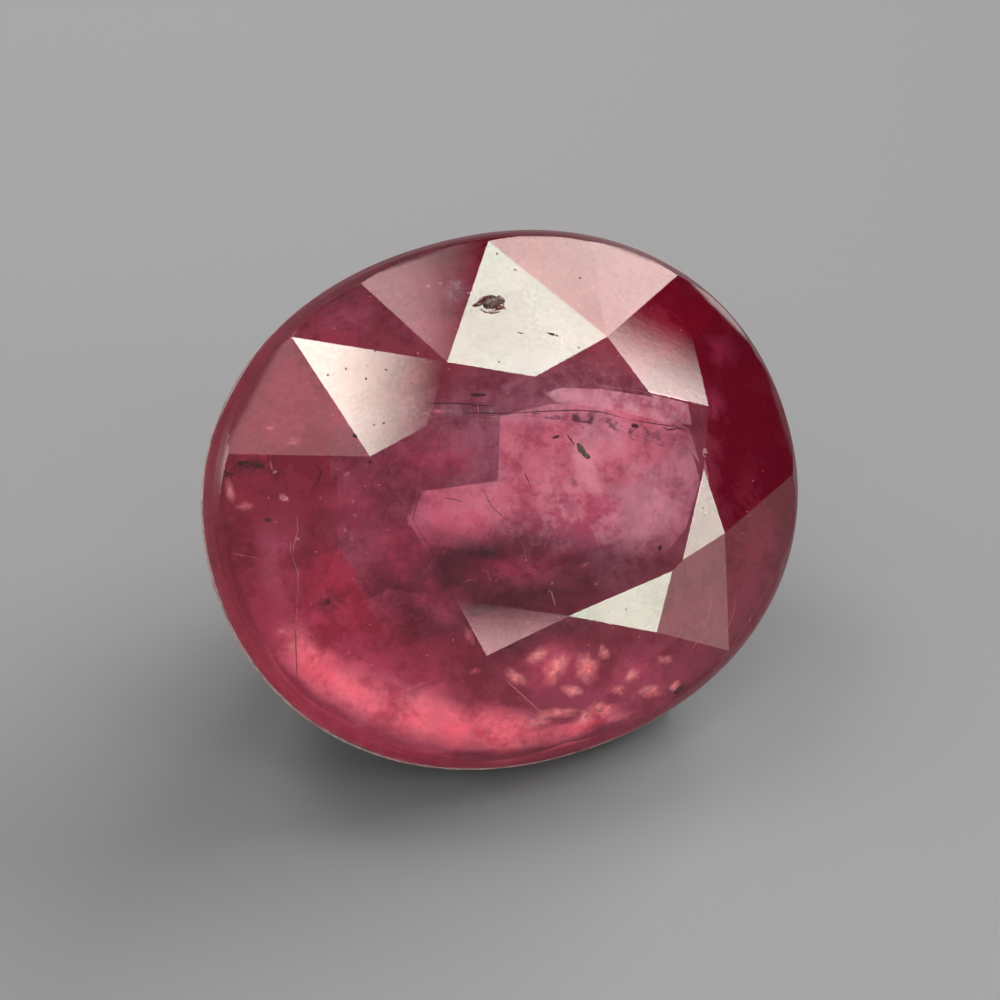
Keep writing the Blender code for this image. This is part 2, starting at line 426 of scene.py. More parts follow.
def lump(centre, size, turn, seed, rings=9, sides=12):
    """Grain: an ellipsoid in the picture plane, turned there. Its radius is swelled by a sine of
    twice the bearing, and by a weaker product of sines of the bearing and of the height angle."""
    rng = np.random.default_rng(seed)
    v, a = np.meshgrid(np.linspace(POLE_GAP, np.pi - POLE_GAP, rings),
                       np.linspace(0.0, 2.0 * np.pi, sides, endpoint=False), indexing="ij")
    p = rng.uniform(0.0, 6.28, 3)
    waves = np.sin(2 * a + p[0]) + 0.6 * np.sin(3 * a + p[1]) * np.sin(2 * v + p[2])
    swell = 1.0 + WAVINESS * waves / 1.6
    c, s = math.cos(turn), math.sin(turn)
    right, upward, back = (np.array(axis) for axis in (VIEW_RIGHT, VIEW_UP, VIEW_BACK))
    long_axis = right * c + upward * s
    short_axis = upward * c - right * s
    half = np.array(size) * MM / 2.0
    points = (centre + (np.sin(v) * np.cos(a) * swell * half[0])[..., None] * long_axis
              + (np.sin(v) * np.sin(a) * swell * half[1])[..., None] * short_axis
              - (np.cos(v) * half[2])[..., None] * back)
    return points.reshape(-1, 3), grid_faces(rings, sides), np.ones(rings * sides)


def veil(outline, softness, bulge, thickness=0.02, sides=120, rings=14, core=0.35):
    """Sheet: an outline filled towards its middle, with two skins that meet at its rim. Its bow and
    its thickness go with 1 less the square of the share of the way to the rim. Outside its core,
    its cover falls from 1 to 0 towards the parts of the rim that are soft."""
    outline = np.asarray(outline)
    closed = np.vstack([outline, outline[:1]])
    run = np.concatenate([[0.0], np.cumsum(np.linalg.norm(np.diff(closed, axis=0), axis=1))])
    t = np.linspace(0.0, run[-1], sides, endpoint=False)
    rim = np.stack([np.interp(t, run, closed[:, i]) for i in range(3)], axis=1)
    soft = np.interp(t, run, np.append(softness, softness[0]))
    middle = rim.mean(axis=0)
    back = np.array(VIEW_BACK)
    r = np.linspace(0.0, 1.0, rings + 1)[1:]
    level = 1.0 - r * r
    spread = middle + r[:, None, None] * (rim - middle)[None]
    bow = (bulge * level)[:, None, None] * back * MM
    wall = (thickness * level)[:, None, None] * back * MM / 2.0
    upper = spread + bow + wall
    lower = (spread + bow - wall)[:-1]
    points = np.concatenate([upper.reshape(-1, 3), lower[::-1].reshape(-1, 3)])
    fade = 1.0 - soft[None, :] * np.clip((r[:, None] - core) / (1.0 - core), 0.0, 1.0) ** 0.8
    cover = np.concatenate([fade.reshape(-1), fade[:-1][::-1].reshape(-1)])
    loops = 2 * rings - 1
    return points, grid_faces(loops, sides), cover


def joined(name, parts, material):
    """Make one object of closed parts, each given as its points, faces and cover, facing outwards."""
    points, faces, cover, count = [], [], [], 0
    for place, loops, share in parts:
        points.append(place)
        cover.append(share)
        faces += [tuple(i + count for i in loop) for loop in loops]
        count += len(place)
    mesh = bpy.data.meshes.new(name)
    mesh.from_pydata(np.concatenate(points).tolist(), [], faces)
    layer = mesh.attributes.new("cover", "FLOAT", "POINT")
    layer.data.foreach_set("value", np.concatenate(cover).astype(np.float32))
    shape = bmesh.new()
    shape.from_mesh(mesh)
    bmesh.ops.recalc_face_normals(shape, faces=shape.faces)
    shape.to_mesh(mesh)
    shape.free()
    mesh.polygons.foreach_set("use_smooth", [True] * len(mesh.polygons))
    mesh.materials.append(material)
    piece = bpy.data.objects.new(name, mesh)
    bpy.context.collection.objects.link(piece)
    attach(piece, "root")
    return piece


# Needles: pixels that they pass through, depth under the surface and radius, in millimetres
DARK_NEEDLES = (
    (((424, 404), (445, 403), (470, 404), (498, 405)), 0.35, 0.014),
    (((466, 413), (485, 413), (512, 414)), 0.30, 0.013),
    (((500, 414), (530, 412), (577, 410), (602, 412), (627, 419)), 0.45, 0.010),
    (((627, 419), (650, 423), (674, 425), (688, 433)), 0.35, 0.009),
    (((663, 427), (668, 430), (676, 428), (687, 430)), 0.32, 0.013),
    (((524, 472), (527, 478), (531, 487)), 0.30, 0.010),
    (((485, 492), (488, 500), (493, 508), (508, 521)), 0.30, 0.007),
    (((567, 434), (570, 439), (575, 445)), 0.30, 0.013),
    (((571, 434), (572, 441)), 0.30, 0.006),
    (((315, 463), (321, 472), (318, 482), (312, 489)), 0.30, 0.012),
    (((222, 478), (228, 473), (235, 475)), 0.12, 0.022),
    (((223, 471), (229, 475), (232, 479)), 0.12, 0.016),
    (((295, 627), (296, 650), (297, 682)), 0.30, 0.009),
    (((443, 498), (452, 499), (464, 502)), 0.30, 0.007),
)
PALE_NEEDLES = (
    (((477, 403), (478, 408), (479, 415)), 0.28, 0.012),
    (((482, 417), (492, 417), (502, 417)), 0.28, 0.009),
    (((470, 419), (490, 420), (520, 419)), 0.30, 0.006),
    (((421, 414), (426, 413), (431, 416)), 0.28, 0.013),
    (((432, 409), (440, 411), (452, 410)), 0.30, 0.009),
    (((297, 515), (298, 530), (294, 545), (292, 558)), 0.30, 0.007),
    (((292, 556), (295, 564), (298, 572), (298, 592)), 0.30, 0.009),
    (((298, 590), (297, 612), (295, 630)), 0.30, 0.006),
    (((291, 540), (290, 556)), 0.34, 0.006),
    (((547, 540), (545, 545), (543, 551)), 0.30, 0.008),
    (((520, 539), (524, 548), (526, 559)), 0.30, 0.006),
    (((551, 590), (553, 598), (556, 607)), 0.30, 0.009),
    (((481, 570), (487, 571), (491, 582)), 0.28, 0.009),
    (((461, 584), (468, 580), (478, 579)), 0.28, 0.006),
    (((582, 567), (589, 562)), 0.28, 0.009),
    (((557, 556), (555, 565)), 0.28, 0.007),
    (((700, 636), (708, 618), (712, 600)), 0.03, 0.006),
    (((725, 634), (733, 616), (736, 598)), 0.03, 0.005),
    (((690, 652), (697, 642)), 0.03, 0.006),
    # A painted highlight: a thin pale line that glows along a facet edge
    (((505, 679), (520, 693), (540, 711)), 0.10, 0.009),
    (((232, 553), (245, 556), (260, 558)), 0.20, 0.006),
    (((702, 452), (706, 458)), 0.10, 0.010),
    (((735, 320), (742, 330)), 0.03, 0.006),
    (((615, 290), (624, 301)), 0.02, 0.007),
    (((224, 431), (230, 438)), 0.05, 0.014),
)
# Short pale dashes on the top facet: the pixel where each starts, the steps that each takes from
# there, and their depth and radius in millimetres
DASH_STEPS = ((0, 0), (2, 3), (4, 5))
DASH_DEPTH = 0.03
DASH_RADIUS = 0.006
DASHES = (
    (562, 372), (570, 383), (579, 374), (588, 367), (593, 379), (601, 371), (604, 384), (612, 376),
    (618, 386), (553, 379), (609, 361), (596, 362),
)

# Grains: pixel of the middle, length and width in millimetres, turn in degrees, depth
GREEN_GRAINS = (
    ((581, 449), 0.27, 0.12, -50, 0.35),
    ((585, 455), 0.18, 0.10, -40, 0.40),
)
DARK_GRAINS = (
    ((635, 426), 0.17, 0.07, -5, 0.30),
    ((244, 463), 0.22, 0.09, 8, 0.55),
    ((260, 466), 0.14, 0.10, -20, 0.55),
    ((678, 690), 0.20, 0.15, 30, 0.30),
    ((556, 437), 0.16, 0.05, 20, 0.60),
    ((478, 395), 0.30, 0.07, 0, 0.55),
    ((588, 456), 0.12, 0.06, -40, 0.40),
    ((370, 462), 0.06, 0.05, 0, 0.12),
    ((660, 548), 0.08, 0.12, 0, 0.50),
    ((268, 520), 0.14, 0.08, 10, 0.50),
)
PALE_GRAINS = (
    ((574, 482), 0.11, 0.13, 20, 0.30), ((583, 428), 0.06, 0.05, 30, 0.30),
    ((553, 458), 0.05, 0.05, 0, 0.30), ((536, 424), 0.04, 0.04, 0, 0.30),
    ((628, 519), 0.05, 0.06, 0, 0.30), ((643, 545), 0.05, 0.05, 0, 0.30),
    ((526, 560), 0.04, 0.04, 0, 0.30), ((530, 572), 0.05, 0.04, 0, 0.30),
    ((511, 531), 0.05, 0.04, 10, 0.30), ((596, 584), 0.05, 0.05, 0, 0.30),
    ((552, 583), 0.04, 0.06, 0, 0.30), ((496, 581), 0.04, 0.04, 0, 0.30),
    ((470, 527), 0.06, 0.03, 20, 0.30), ((430, 567), 0.04, 0.04, 0, 0.30),
    ((353, 502), 0.05, 0.07, 20, 0.30), ((355, 515), 0.10, 0.05, -40, 0.30),
    ((345, 530), 0.10, 0.05, 50, 0.30), ((352, 539), 0.08, 0.05, -30, 0.30),
    ((379, 485), 0.06, 0.04, 0, 0.30), ((387, 530), 0.05, 0.04, 0, 0.30),
    ((347, 474), 0.11, 0.07, 30, 0.30), ((338, 469), 0.12, 0.03, -15, 0.30),
    ((271, 465), 0.04, 0.18, 10, 0.20), ((275, 472), 0.09, 0.06, 40, 0.20),
    ((284, 498), 0.16, 0.09, -30, 0.30), ((298, 539), 0.07, 0.05, 0, 0.30),
    ((750, 620), 0.04, 0.04, 0, 0.10), ((469, 293), 0.09, 0.05, 10, 0.10),
    ((440, 283), 0.07, 0.04, 20, 0.10), ((428, 286), 0.08, 0.05, -10, 0.10),
    ((430, 340), 0.05, 0.05, 0, 0.10), ((706, 451), 0.07, 0.12, 0, 0.15),
    # These last grains are painted highlights: pale glowing cores of the bright spots along the lower
    # edge
    ((540, 724), 0.12, 0.06, 8, 0.15), ((601, 710), 0.14, 0.08, 30, 0.15),
    ((586, 716), 0.12, 0.05, 40, 0.15), ((513, 673), 0.10, 0.05, -40, 0.15),
    ((604, 650), 0.06, 0.06, 0, 0.20),
)

# Soft patches: pixel of the middle, length and width in millimetres, turn in degrees, depth
# Painted highlights: glowing patches at the bright sparkles along the lower edge
PAINTED_FLASHES = (
    ((588, 714), 0.65, 0.29, 40, 0.25), ((604, 710), 0.44, 0.31, 20, 0.25),
    ((537, 723), 0.52, 0.23, 10, 0.20), ((556, 713), 0.98, 0.21, 6, 0.30),
    ((604, 653), 0.26, 0.34, 10, 0.35), ((650, 692), 0.55, 0.31, 15, 0.30),
    ((675, 686), 0.29, 0.20, 30, 0.30), ((514, 676), 0.47, 0.29, -40, 0.20),
    ((632, 676), 0.39, 0.21, 40, 0.30), ((538, 656), 0.52, 0.29, 30, 0.40),
    ((572, 690), 0.44, 0.26, -15, 0.40), ((618, 690), 0.29, 0.23, 0, 0.35),
    ((555, 668), 0.78, 0.44, 60, 0.50), ((586, 668), 0.52, 0.65, 10, 0.50),
    ((664, 660), 0.29, 0.21, 0, 0.30),
)
# Painted highlights: small pink patches that glow at bright pink spots
PAINTED_PINK_GLOWS = (
    ((294, 441), 0.30, 0.26, 0, 0.30), ((270, 428), 0.24, 0.10, 0, 0.30),
    ((245, 506), 0.40, 0.20, 5, 0.35), ((284, 498), 0.26, 0.15, -30, 0.30),
    ((291, 646), 0.24, 0.22, 0, 0.35), ((281, 631), 0.20, 0.12, 20, 0.35),
    ((470, 637), 0.24, 0.40, 20, 0.40), ((476, 671), 0.30, 0.12, 20, 0.30),
    ((574, 482), 0.24, 0.26, 20, 0.30), ((230, 492), 0.20, 0.60, 10, 0.30),
    ((437, 411), 0.30, 0.12, 0, 0.30),
)
# Painted light: clouds along the lower edge that glow where light gathers in the stone
PAINTED_GLOW_CLOUDS = (
    ((300, 662), 2.0, 1.3, -50, 0.8), ((345, 694), 2.4, 1.5, -34, 0.9),
    ((400, 712), 2.6, 1.5, -20, 0.9), ((460, 728), 2.6, 1.2, -6, 0.9), ((515, 736), 2.2, 1.0, 6, 0.7),
    ((585, 728), 2.0, 0.6, 18, 0.6),
)
ROSE_CLOUDS = (
    ((345, 512), 1.6, 1.3, 30, 0.9), ((402, 552), 1.2, 1.9, 20, 0.9), ((280, 560), 1.1, 2.4, 5, 0.9),
    ((560, 665), 2.2, 1.4, 20, 0.9), ((640, 668), 1.6, 1.0, 30, 0.8), ((420, 325), 1.4, 0.9, -40, 0.8),
    ((350, 316), 1.4, 0.9, 20, 0.8), ((465, 520), 1.3, 0.8, 0, 1.0), ((515, 573), 3.2, 1.1, 4, 0.9),
    ((440, 600), 1.6, 1.0, -30, 0.9), ((438, 455), 2.3, 1.3, 4, 0.8),
    ((722, 350), 0.9, 0.6, -60, 0.35), ((712, 402), 0.6, 0.9, 0, 0.35),
)
DUSKY_CLOUDS = (
    ((253, 464), 1.2, 0.55, -5, 0.45), ((676, 692), 0.7, 0.4, 20, 0.4),
    ((330, 600), 0.8, 0.5, 20, 0.9),
)

# Veils: outline in pixels, with how soft the rim is at each, from 0 to 1
# The milky veils are clouds in the stone; their glow is painted light that brightens the table
TABLE_VEIL = (
    (500, 416, 0.15), (498, 481, 0.1), (460, 486, 0.2), (422, 491, 0.2), (413, 520, 0.3),
    (430, 545, 0.8), (480, 552, 1.0), (540, 556, 1.0), (600, 560, 1.0), (660, 560, 1.0),
    (690, 530, 0.6), (700, 480, 0.6), (690, 430, 0.6), (650, 408, 0.4), (600, 402, 0.4),
    (550, 404, 0.3),
)
UPPER_VEIL = (
    (545, 393, 0.4), (560, 388, 0.1), (600, 389, 0.1), (640, 391, 0.1), (664, 397, 0.1),
    (688, 404, 0.2), (692, 425, 0.5), (680, 424, 0.6), (650, 419, 0.5), (620, 411, 0.5),
    (580, 405, 0.6), (556, 402, 0.6),
)
SMOKE = (
    (500, 408, 0.9), (530, 405, 0.9), (570, 405, 0.9), (605, 408, 0.9), (640, 424, 0.9),
    (670, 432, 0.9), (700, 445, 0.9), (700, 458, 0.9), (672, 448, 0.9), (640, 444, 0.9),
    (612, 432, 0.9), (560, 417, 0.9), (520, 416, 0.9),
)
MAUVE_VEIL = (
    (425, 405, 0.8), (450, 404, 0.8), (480, 405, 0.8), (512, 408, 0.9), (508, 416, 0.8),
    (470, 417, 0.7), (440, 416, 0.8), (424, 412, 0.8),
)
CROWN_CLOUD = (
    (436, 288, 0.9), (448, 276, 0.9), (464, 277, 0.9), (471, 290, 0.9), (464, 304, 0.9),
    (446, 303, 0.9),
)


class StoneSettings(bpy.types.PropertyGroup):
    """What the stone's own material is made with"""

    ior: FloatProperty(name="Refraction", description="Index of refraction of tourmaline", default=1.624)
    polish: FloatProperty(
        name="Polish", description="Roughness of the polished crown", default=0.0,
        subtype="FACTOR", min=0.0, max=1.0)
    back_polish: FloatProperty(
        name="Back polish", description="Roughness of the girdle and the pavilion", default=0.34,
        subtype="FACTOR", min=0.0, max=1.0)
    softened: FloatProperty(
        name="Softened back", description="How far the haze hides the pavilion's facets", default=0.6,
        subtype="FACTOR", min=0.0, max=1.0)
    body_colour: FloatVectorProperty(
        name="Body colour", description="Colour that the body lets through best", subtype="COLOR",
        default=(0.84, 0.02, 0.35), min=0.0, max=1.0)
    body_density: FloatProperty(
        name="Body density", description="How fast the body takes up light, per metre", default=185.0)


class MarkSettings(bpy.types.PropertyGroup):
    """Colours of the matter inside the stone, and how much dust there is"""

    # Some pale grains and one needle along the lower edge are painted highlights
    pale: FloatVectorProperty(
        name="Pale marks", description="Colour of the pale needles and grains", subtype="COLOR",
        default=(1.0, 0.86, 0.84), min=0.0, max=1.0)
    dark: FloatVectorProperty(
        name="Dark marks", description="Colour of the dark needles and grains", subtype="COLOR",
        default=(0.14, 0.04, 0.07), min=0.0, max=1.0)
    green: FloatVectorProperty(
        name="Green crystal", description="Colour of the green crystal", subtype="COLOR",
        default=(0.16, 0.19, 0.10), min=0.0, max=1.0)
    cloud: FloatVectorProperty(
        name="Cloud", description="Colour of the milky veils", subtype="COLOR",
        default=(0.94, 0.56, 0.64), min=0.0, max=1.0)
    rose: FloatVectorProperty(
        name="Rose", description="Deeper colour in the milky veils", subtype="COLOR",
        default=(0.84, 0.33, 0.43), min=0.0, max=1.0)
    # Painted light: colour of the glow that stands for light gathering along the lower edge
    painted_glow: FloatVectorProperty(
        name="Ember", description="Colour of the glow along the lower edge", subtype="COLOR",
        default=(1.0, 0.38, 0.43), min=0.0, max=1.0)
    # Painted highlight: colour of the glowing patches at the sparkles along the lower edge
    painted_flash: FloatVectorProperty(
        name="Flash", description="Colour of the bright patches along the lower edge", subtype="COLOR",
        default=(1.0, 0.56, 0.50), min=0.0, max=1.0)
    dust_count: IntProperty(
        name="Dust", description="How many tiny grains are spread through the stone", default=150)


class StageSettings(bpy.types.PropertyGroup):
    """The floor and the room"""

    floor_size: FloatProperty(
        name="Floor size", description="Side of the floor", default=1.2, unit="LENGTH")
    floor_grey: FloatProperty(
        name="Floor grey", description="Share of light that the floor throws back", default=0.438,
        subtype="FACTOR", min=0.0, max=1.0)
    surround: FloatProperty(
        name="Surround", description="Brightness of the room all round", default=0.34)


class RUBELLITE_OT_stone(bpy.types.Operator):
    """Give the stone its polish and its deep pink body"""

    bl_idname = "rubellite.stone"
    bl_label = "Finish the stone"

    def execute(self, context):
        gem = frame["nodes"][STONE]
        gem.data.materials.clear()
        gem.data.materials.append(rubellite_material(context.scene.rubellite_stone))
        return {"FINISHED"}


# A grain's thickness as a share of its shorter side
GRAIN_THICKNESS = 0.7

# Clouds: points round each outline, how much its radius wanders, bow and thickness in millimetres,
# and the part in the middle that is whole
CLOUD_POINTS = 16
CLOUD_WANDER = 0.28
CLOUD_BOW = 0.02
CLOUD_THICKNESS = 0.01
CLOUD_CORE = 0.05


def needles(inside, rows):
    """Needles, each through the places that are seen at its pixels."""
    parts = []
    for pixels, depth, radius in rows:
        parts.append(tube([inside.at(x, y, depth) for x, y in pixels], radius))
    return parts


def grains(inside, rows, seed):
    """Grains, each at the place that is seen at its pixel."""
    parts = []
    for order, ((x, y), length, width, turn, depth) in enumerate(rows):
        size = (length, width, min(length, width) * GRAIN_THICKNESS)
        parts.append(lump(inside.at(x, y, depth), size, math.radians(turn), seed + order))
    return parts


def sheet(inside, rows, depth, bulge):
    """Veil whose rim runs through the places that are seen at its pixels."""
    rim = [inside.at(x, y, depth) for x, y, _ in rows]
    return veil(rim, [soft for _, _, soft in rows], bulge)


def patches(inside, rows, seed):
    """Small soft sheets, each on an oval outline in the picture whose radius wanders at random."""
    rng = np.random.default_rng(seed)
    bearings = np.linspace(0.0, 2.0 * np.pi, CLOUD_POINTS, endpoint=False)
    parts = []
    for (x, y), length, width, turn, depth in rows:
        wander = 1.0 + rng.uniform(-CLOUD_WANDER, CLOUD_WANDER, CLOUD_POINTS)
        along = np.cos(bearings) * wander * length * MM / PIXEL / 2.0
        across = np.sin(bearings) * wander * width * MM / PIXEL / 2.0
        c, s = math.cos(math.radians(turn)), math.sin(math.radians(turn))
        rim = [inside.at(x + a * c - b * s, y - a * s - b * c, depth, (x, y))
               for a, b in zip(along, across)]
        parts.append(veil(
            rim, np.ones(CLOUD_POINTS), CLOUD_BOW, CLOUD_THICKNESS, sides=32, rings=7, core=CLOUD_CORE))
    return parts


class RUBELLITE_OT_veils(bpy.types.Operator):
    """Hang the milky veils, the clouds, the painted glow along the lower edge and the smoky streak under
    the table
    """

    bl_idname = "rubellite.veils"
    bl_label = "Hang the veils"

    def execute(self, context):
        marks = context.scene.rubellite_marks
        inside = Inside(context.scene.rubellite_stone.ior)
        mauve = sheet(inside, MAUVE_VEIL, depth=0.32, bulge=0.02)
        crown_cloud = sheet(inside, CROWN_CLOUD, depth=0.15, bulge=0.02)
        pieces = (
            ("table_veil", [sheet(inside, TABLE_VEIL, depth=0.80, bulge=0.08)]),
            ("upper_veil", [sheet(inside, UPPER_VEIL, depth=0.55, bulge=0.05)]),
            ("painted_glow_clouds", patches(inside, PAINTED_GLOW_CLOUDS, seed=1)),
            ("rose_clouds", patches(inside, ROSE_CLOUDS, seed=2)),
            ("dusky_clouds", patches(inside, DUSKY_CLOUDS, seed=3)),
            ("mauve_veil", [mauve, crown_cloud]),
            ("smoke", [sheet(inside, SMOKE, depth=0.50, bulge=0.03)]),
        )
        for name, parts in pieces:
            joined(name, parts, mark_material(name, marks))
        return {"FINISHED"}


class RUBELLITE_OT_marks(bpy.types.Operator):
    """Set the needles, grains and crystals in the stone, and the glowing patches of painted highlight,
    each at the depth where it is seen
    """

    bl_idname = "rubellite.marks"
    bl_label = "Set the marks"

    def execute(self, context):
        marks = context.scene.rubellite_marks
        inside = Inside(context.scene.rubellite_stone.ior)
        dashes = [([(x + u, y + v) for u, v in DASH_STEPS], DASH_DEPTH, DASH_RADIUS) for x, y in DASHES]
        pale = mark_material("pale_marks", marks)
        dark = mark_material("dark_marks", marks)
        joined("pale_needles", needles(inside, [*PALE_NEEDLES, *dashes]), pale)
        joined("pale_grains", grains(inside, PALE_GRAINS, seed=40), pale)
        joined("dark_needles", needles(inside, DARK_NEEDLES), dark)
        joined("dark_grains", grains(inside, DARK_GRAINS, seed=80), dark)
        pieces = (
            ("green_crystal", grains(inside, GREEN_GRAINS, seed=7)),
            ("painted_flashes", patches(inside, PAINTED_FLASHES, seed=4)),
            ("painted_pink_glows", patches(inside, PAINTED_PINK_GLOWS, seed=5)),
        )
        for name, parts in pieces:
            joined(name, parts, mark_material(name, marks))
        return {"FINISHED"}


# Grains that sit on the polished facets: pixel, length and width in millimetres, turn in degrees
SURFACE_GRAINS = (
    ((497, 254), 0.05, 0.03, 70), ((515, 270), 0.07, 0.03, -20), ((520, 333), 0.12, 0.03, -10),
    ((551, 334), 0.17, 0.04, -15), ((557, 336), 0.07, 0.03, -40), ((499, 362), 0.04, 0.03, 60),
    ((579, 348), 0.06, 0.02, -30), ((580, 278), 0.04, 0.04, 0), ((346, 369), 0.04, 0.05, 0),
    ((328, 375), 0.04, 0.04, 0), ((366, 379), 0.04, 0.04, 0), ((386, 370), 0.05, 0.04, 0),
    ((367, 366), 0.03, 0.02, 0), ((355, 436), 0.07, 0.09, 40), ((374, 425), 0.05, 0.03, 30),
    ((384, 423), 0.06, 0.03, 30), ((319, 340), 0.04, 0.03, 0), ((375, 351), 0.03, 0.04, 0),
    ((608, 612), 0.03, 0.02, 30), ((626, 609), 0.05, 0.02, 40), ((703, 508), 0.03, 0.03, 0),
    ((704, 516), 0.03, 0.02, 20), ((340, 350), 0.02, 0.02, 0), ((411, 383), 0.03, 0.02, 0),
)

# What lies in the pit: crumbs, as grains with their depth, and its dark rim, as needles
PIT_CRUMBS = (
    ((489, 304), 0.46, 0.25, 12, 0.0), ((500, 300), 0.20, 0.15, -30, 0.0),
    ((478, 305), 0.16, 0.07, 20, 0.0), ((501, 309), 0.15, 0.08, -40, 0.0),
)
PIT_RIM = (
    (((473, 307), (478, 301), (485, 296), (494, 296), (499, 300), (505, 300), (503, 305), (506, 311)),
     -0.01, 0.016),
    (((479, 308), (485, 312), (494, 313), (501, 311)), -0.01, 0.010),
)

# Dust: the oval that it fills, in pixels, the range of its sizes and of its depths in millimetres
DUST_MIDDLE = (500.0, 500.0)
DUST_REACH = (268.0, 238.0)
DUST_SIZES = (0.012, 0.030)
DUST_DEPTHS = (0.15, 1.2)
DUST_STRETCH = 1.4


class RUBELLITE_OT_grains(bpy.types.Operator):
    """Strew the dark grains that sit on the facets and fill the pit, and the dust inside"""

    bl_idname = "rubellite.grains"
    bl_label = "Strew the grains"

    def execute(self, context):
        marks = context.scene.rubellite_marks
        inside = Inside(context.scene.rubellite_stone.ior)
        rows = [(*row, 0.0) for row in SURFACE_GRAINS]
        joined("surface_grains", grains(inside, rows, seed=200), mark_material("grit", marks))
        crumbs = grains(inside, PIT_CRUMBS, seed=230) + needles(inside, PIT_RIM)
        joined("pit_crumbs", crumbs, mark_material("pit_crumbs", marks))
        rng = np.random.default_rng(11)
        dust = []
        for order in range(marks.dust_count):
            angle = rng.uniform(0.0, 2.0 * math.pi)
            far = math.sqrt(rng.uniform(0.0, 1.0))
            x = DUST_MIDDLE[0] + DUST_REACH[0] * far * math.cos(angle)
            y = DUST_MIDDLE[1] + DUST_REACH[1] * far * math.sin(angle)
            size = rng.uniform(*DUST_SIZES)
            centre = inside.at(x, y, rng.uniform(*DUST_DEPTHS))
            turn = rng.uniform(0.0, 3.0)
            dust.append(lump(centre, (size * DUST_STRETCH, size, size), turn, 300 + order, 5, 6))
        joined("dust", dust, mark_material("dust", marks))
        return {"FINISHED"}


# The stone's widest line: half its length and width in millimetres, how square it is, its height
GIRDLE = (5.80, 4.92, 2.13, -0.60)

# Frosted line: the bearings where it starts and ends, half its width and thickness in millimetres,
# and the share of them that it keeps at its ends
BLOOM = (118.0, 292.0, 0.085, 0.020)
BLOOM_END = 0.03


def bloom(start, end, wide, thick, sides=10, rings=90):
    """Skin along the widest line from one bearing to another: a flat oval profile carried round the
    oval where |x/a| to a power plus |y/b| to the same power is 1. Its width goes with a root of
    half a sine wave, down to almost nothing at both ends."""
    half_length, half_width, power, height = GIRDLE
    t = np.linspace(0.0, 1.0, rings)
    bearing = np.radians(start + (end - start) * t)
    c, s = np.cos(bearing), np.sin(bearing)
    reach = (np.abs(c / half_length) ** power + np.abs(s / half_width) ** power) ** (-1.0 / power)
    outward = np.stack([c, s, np.zeros_like(c)], axis=1)
    line = outward * reach[:, None] + np.array([0.0, 0.0, height])
    girth = np.sin(np.pi * t) ** 0.45
    a = np.linspace(0.0, 2.0 * np.pi, sides, endpoint=False)
    ring = (np.cos(a)[None, :, None] * outward[:, None] * thick
            + np.sin(a)[None, :, None] * np.array([0.0, 0.0, 1.0]) * wide)
    points = line[:, None] + np.maximum(girth, BLOOM_END)[:, None, None] * ring
    turned = points.reshape(-1, 3) @ np.array(STONE_TURN).T * MM + np.array(STONE_MIDDLE)
    return turned, grid_faces(rings, sides), np.ones(rings * sides)


class RUBELLITE_OT_girdle(bpy.types.Operator):
    """Lay the pale frosted line along the widest part of the stone"""

    bl_idname = "rubellite.girdle"
    bl_label = "Frost the girdle"

    def execute(self, context):
        frost = mark_material("girdle_bloom", context.scene.rubellite_marks)
        joined("girdle_bloom", [bloom(*BLOOM)], frost)
        return {"FINISHED"}


# The floor lies just under the stone, because faces that touch exactly render black
FLOOR = -0.03 * MM

# Softboxes and cards: name, direction in degrees from the viewer's side towards +X and above the
# floor, distance, shift and size in millimetres, strength, colour
SOFTBOXES = (
    ("key", -140.0, 52.0, 350.0, (0.0, 0.0), (120.0, 120.0), 4.6, (1.0, 0.99, 0.99)),
    ("back_strip", 133.0, 26.0, 350.0, (0.0, 0.0), (360.0, 52.0), 20.0, (1.0, 0.99, 0.99)),
    ("left_strip", -98.0, 20.0, 250.0, (0.0, 0.0), (60.0, 60.0), 3.0, (1.0, 0.97, 0.95)),
    ("front_box", 62.0, 33.0, 350.0, (0.0, 0.0), (80.0, 80.0), 3.0, (1.0, 0.99, 0.99)),
    ("peak_card", 143.0, 60.0, 250.0, (-0.2, -1.2), (16.0, 16.0), 12.2, (0.87, 1.0, 0.85)),
    ("peak_side", 144.0, 53.0, 250.0, (-2.4, -2.2), (15.0, 13.0), 8.6, (1.0, 0.79, 0.73)),
    ("shoulder", 135.0, 37.0, 250.0, (-2.2, 0.6), (15.0, 13.0), 8.4, (1.0, 0.82, 0.77)),
    ("shoulder_low", 125.0, 34.0, 250.0, (-1.4, -1.1), (14.0, 16.0), 9.6, (1.0, 0.94, 0.87)),
    ("overhead", -106.0, 81.0, 250.0, (-0.5, -3.5), (15.0, 16.0), 17.0, (1.0, 1.0, 0.86)),
    ("left_card", -80.0, 69.0, 250.0, (1.0, -5.2), (16.0, 14.0), 2.4, (1.0, 0.65, 0.65)),
    ("back_card", 168.0, 63.0, 250.0, (-2.8, -2.5), (16.0, 16.0), 5.2, (1.0, 0.72, 0.72)),
    ("side_card", 71.0, 22.0, 150.0, (-1.0, -0.8), (7.0, 7.0), 9.0, (0.92, 1.0, 0.86)),
    ("floor_card", 47.0, -4.0, 25.0, (-0.2, -0.75), (4.6, 2.7), 11.5, (0.86, 1.0, 0.82)),
    ("front_card", 33.0, 25.0, 150.0, (2.6, -0.6), (10.0, 9.0), 7.2, (1.0, 0.70, 0.71)),
)
# Where the glow of some cards falls to nothing: direction on the card in degrees, from and to in
# millimetres from its middle
FADES = {
    "shoulder_low": (-142.0, -3.6, 1.7),
    "overhead": (80.0, -4.2, 6.0),
    "back_card": (-15.0, -3.4, 4.2),
    "front_card": (109.0, -2.0, 1.6),
}
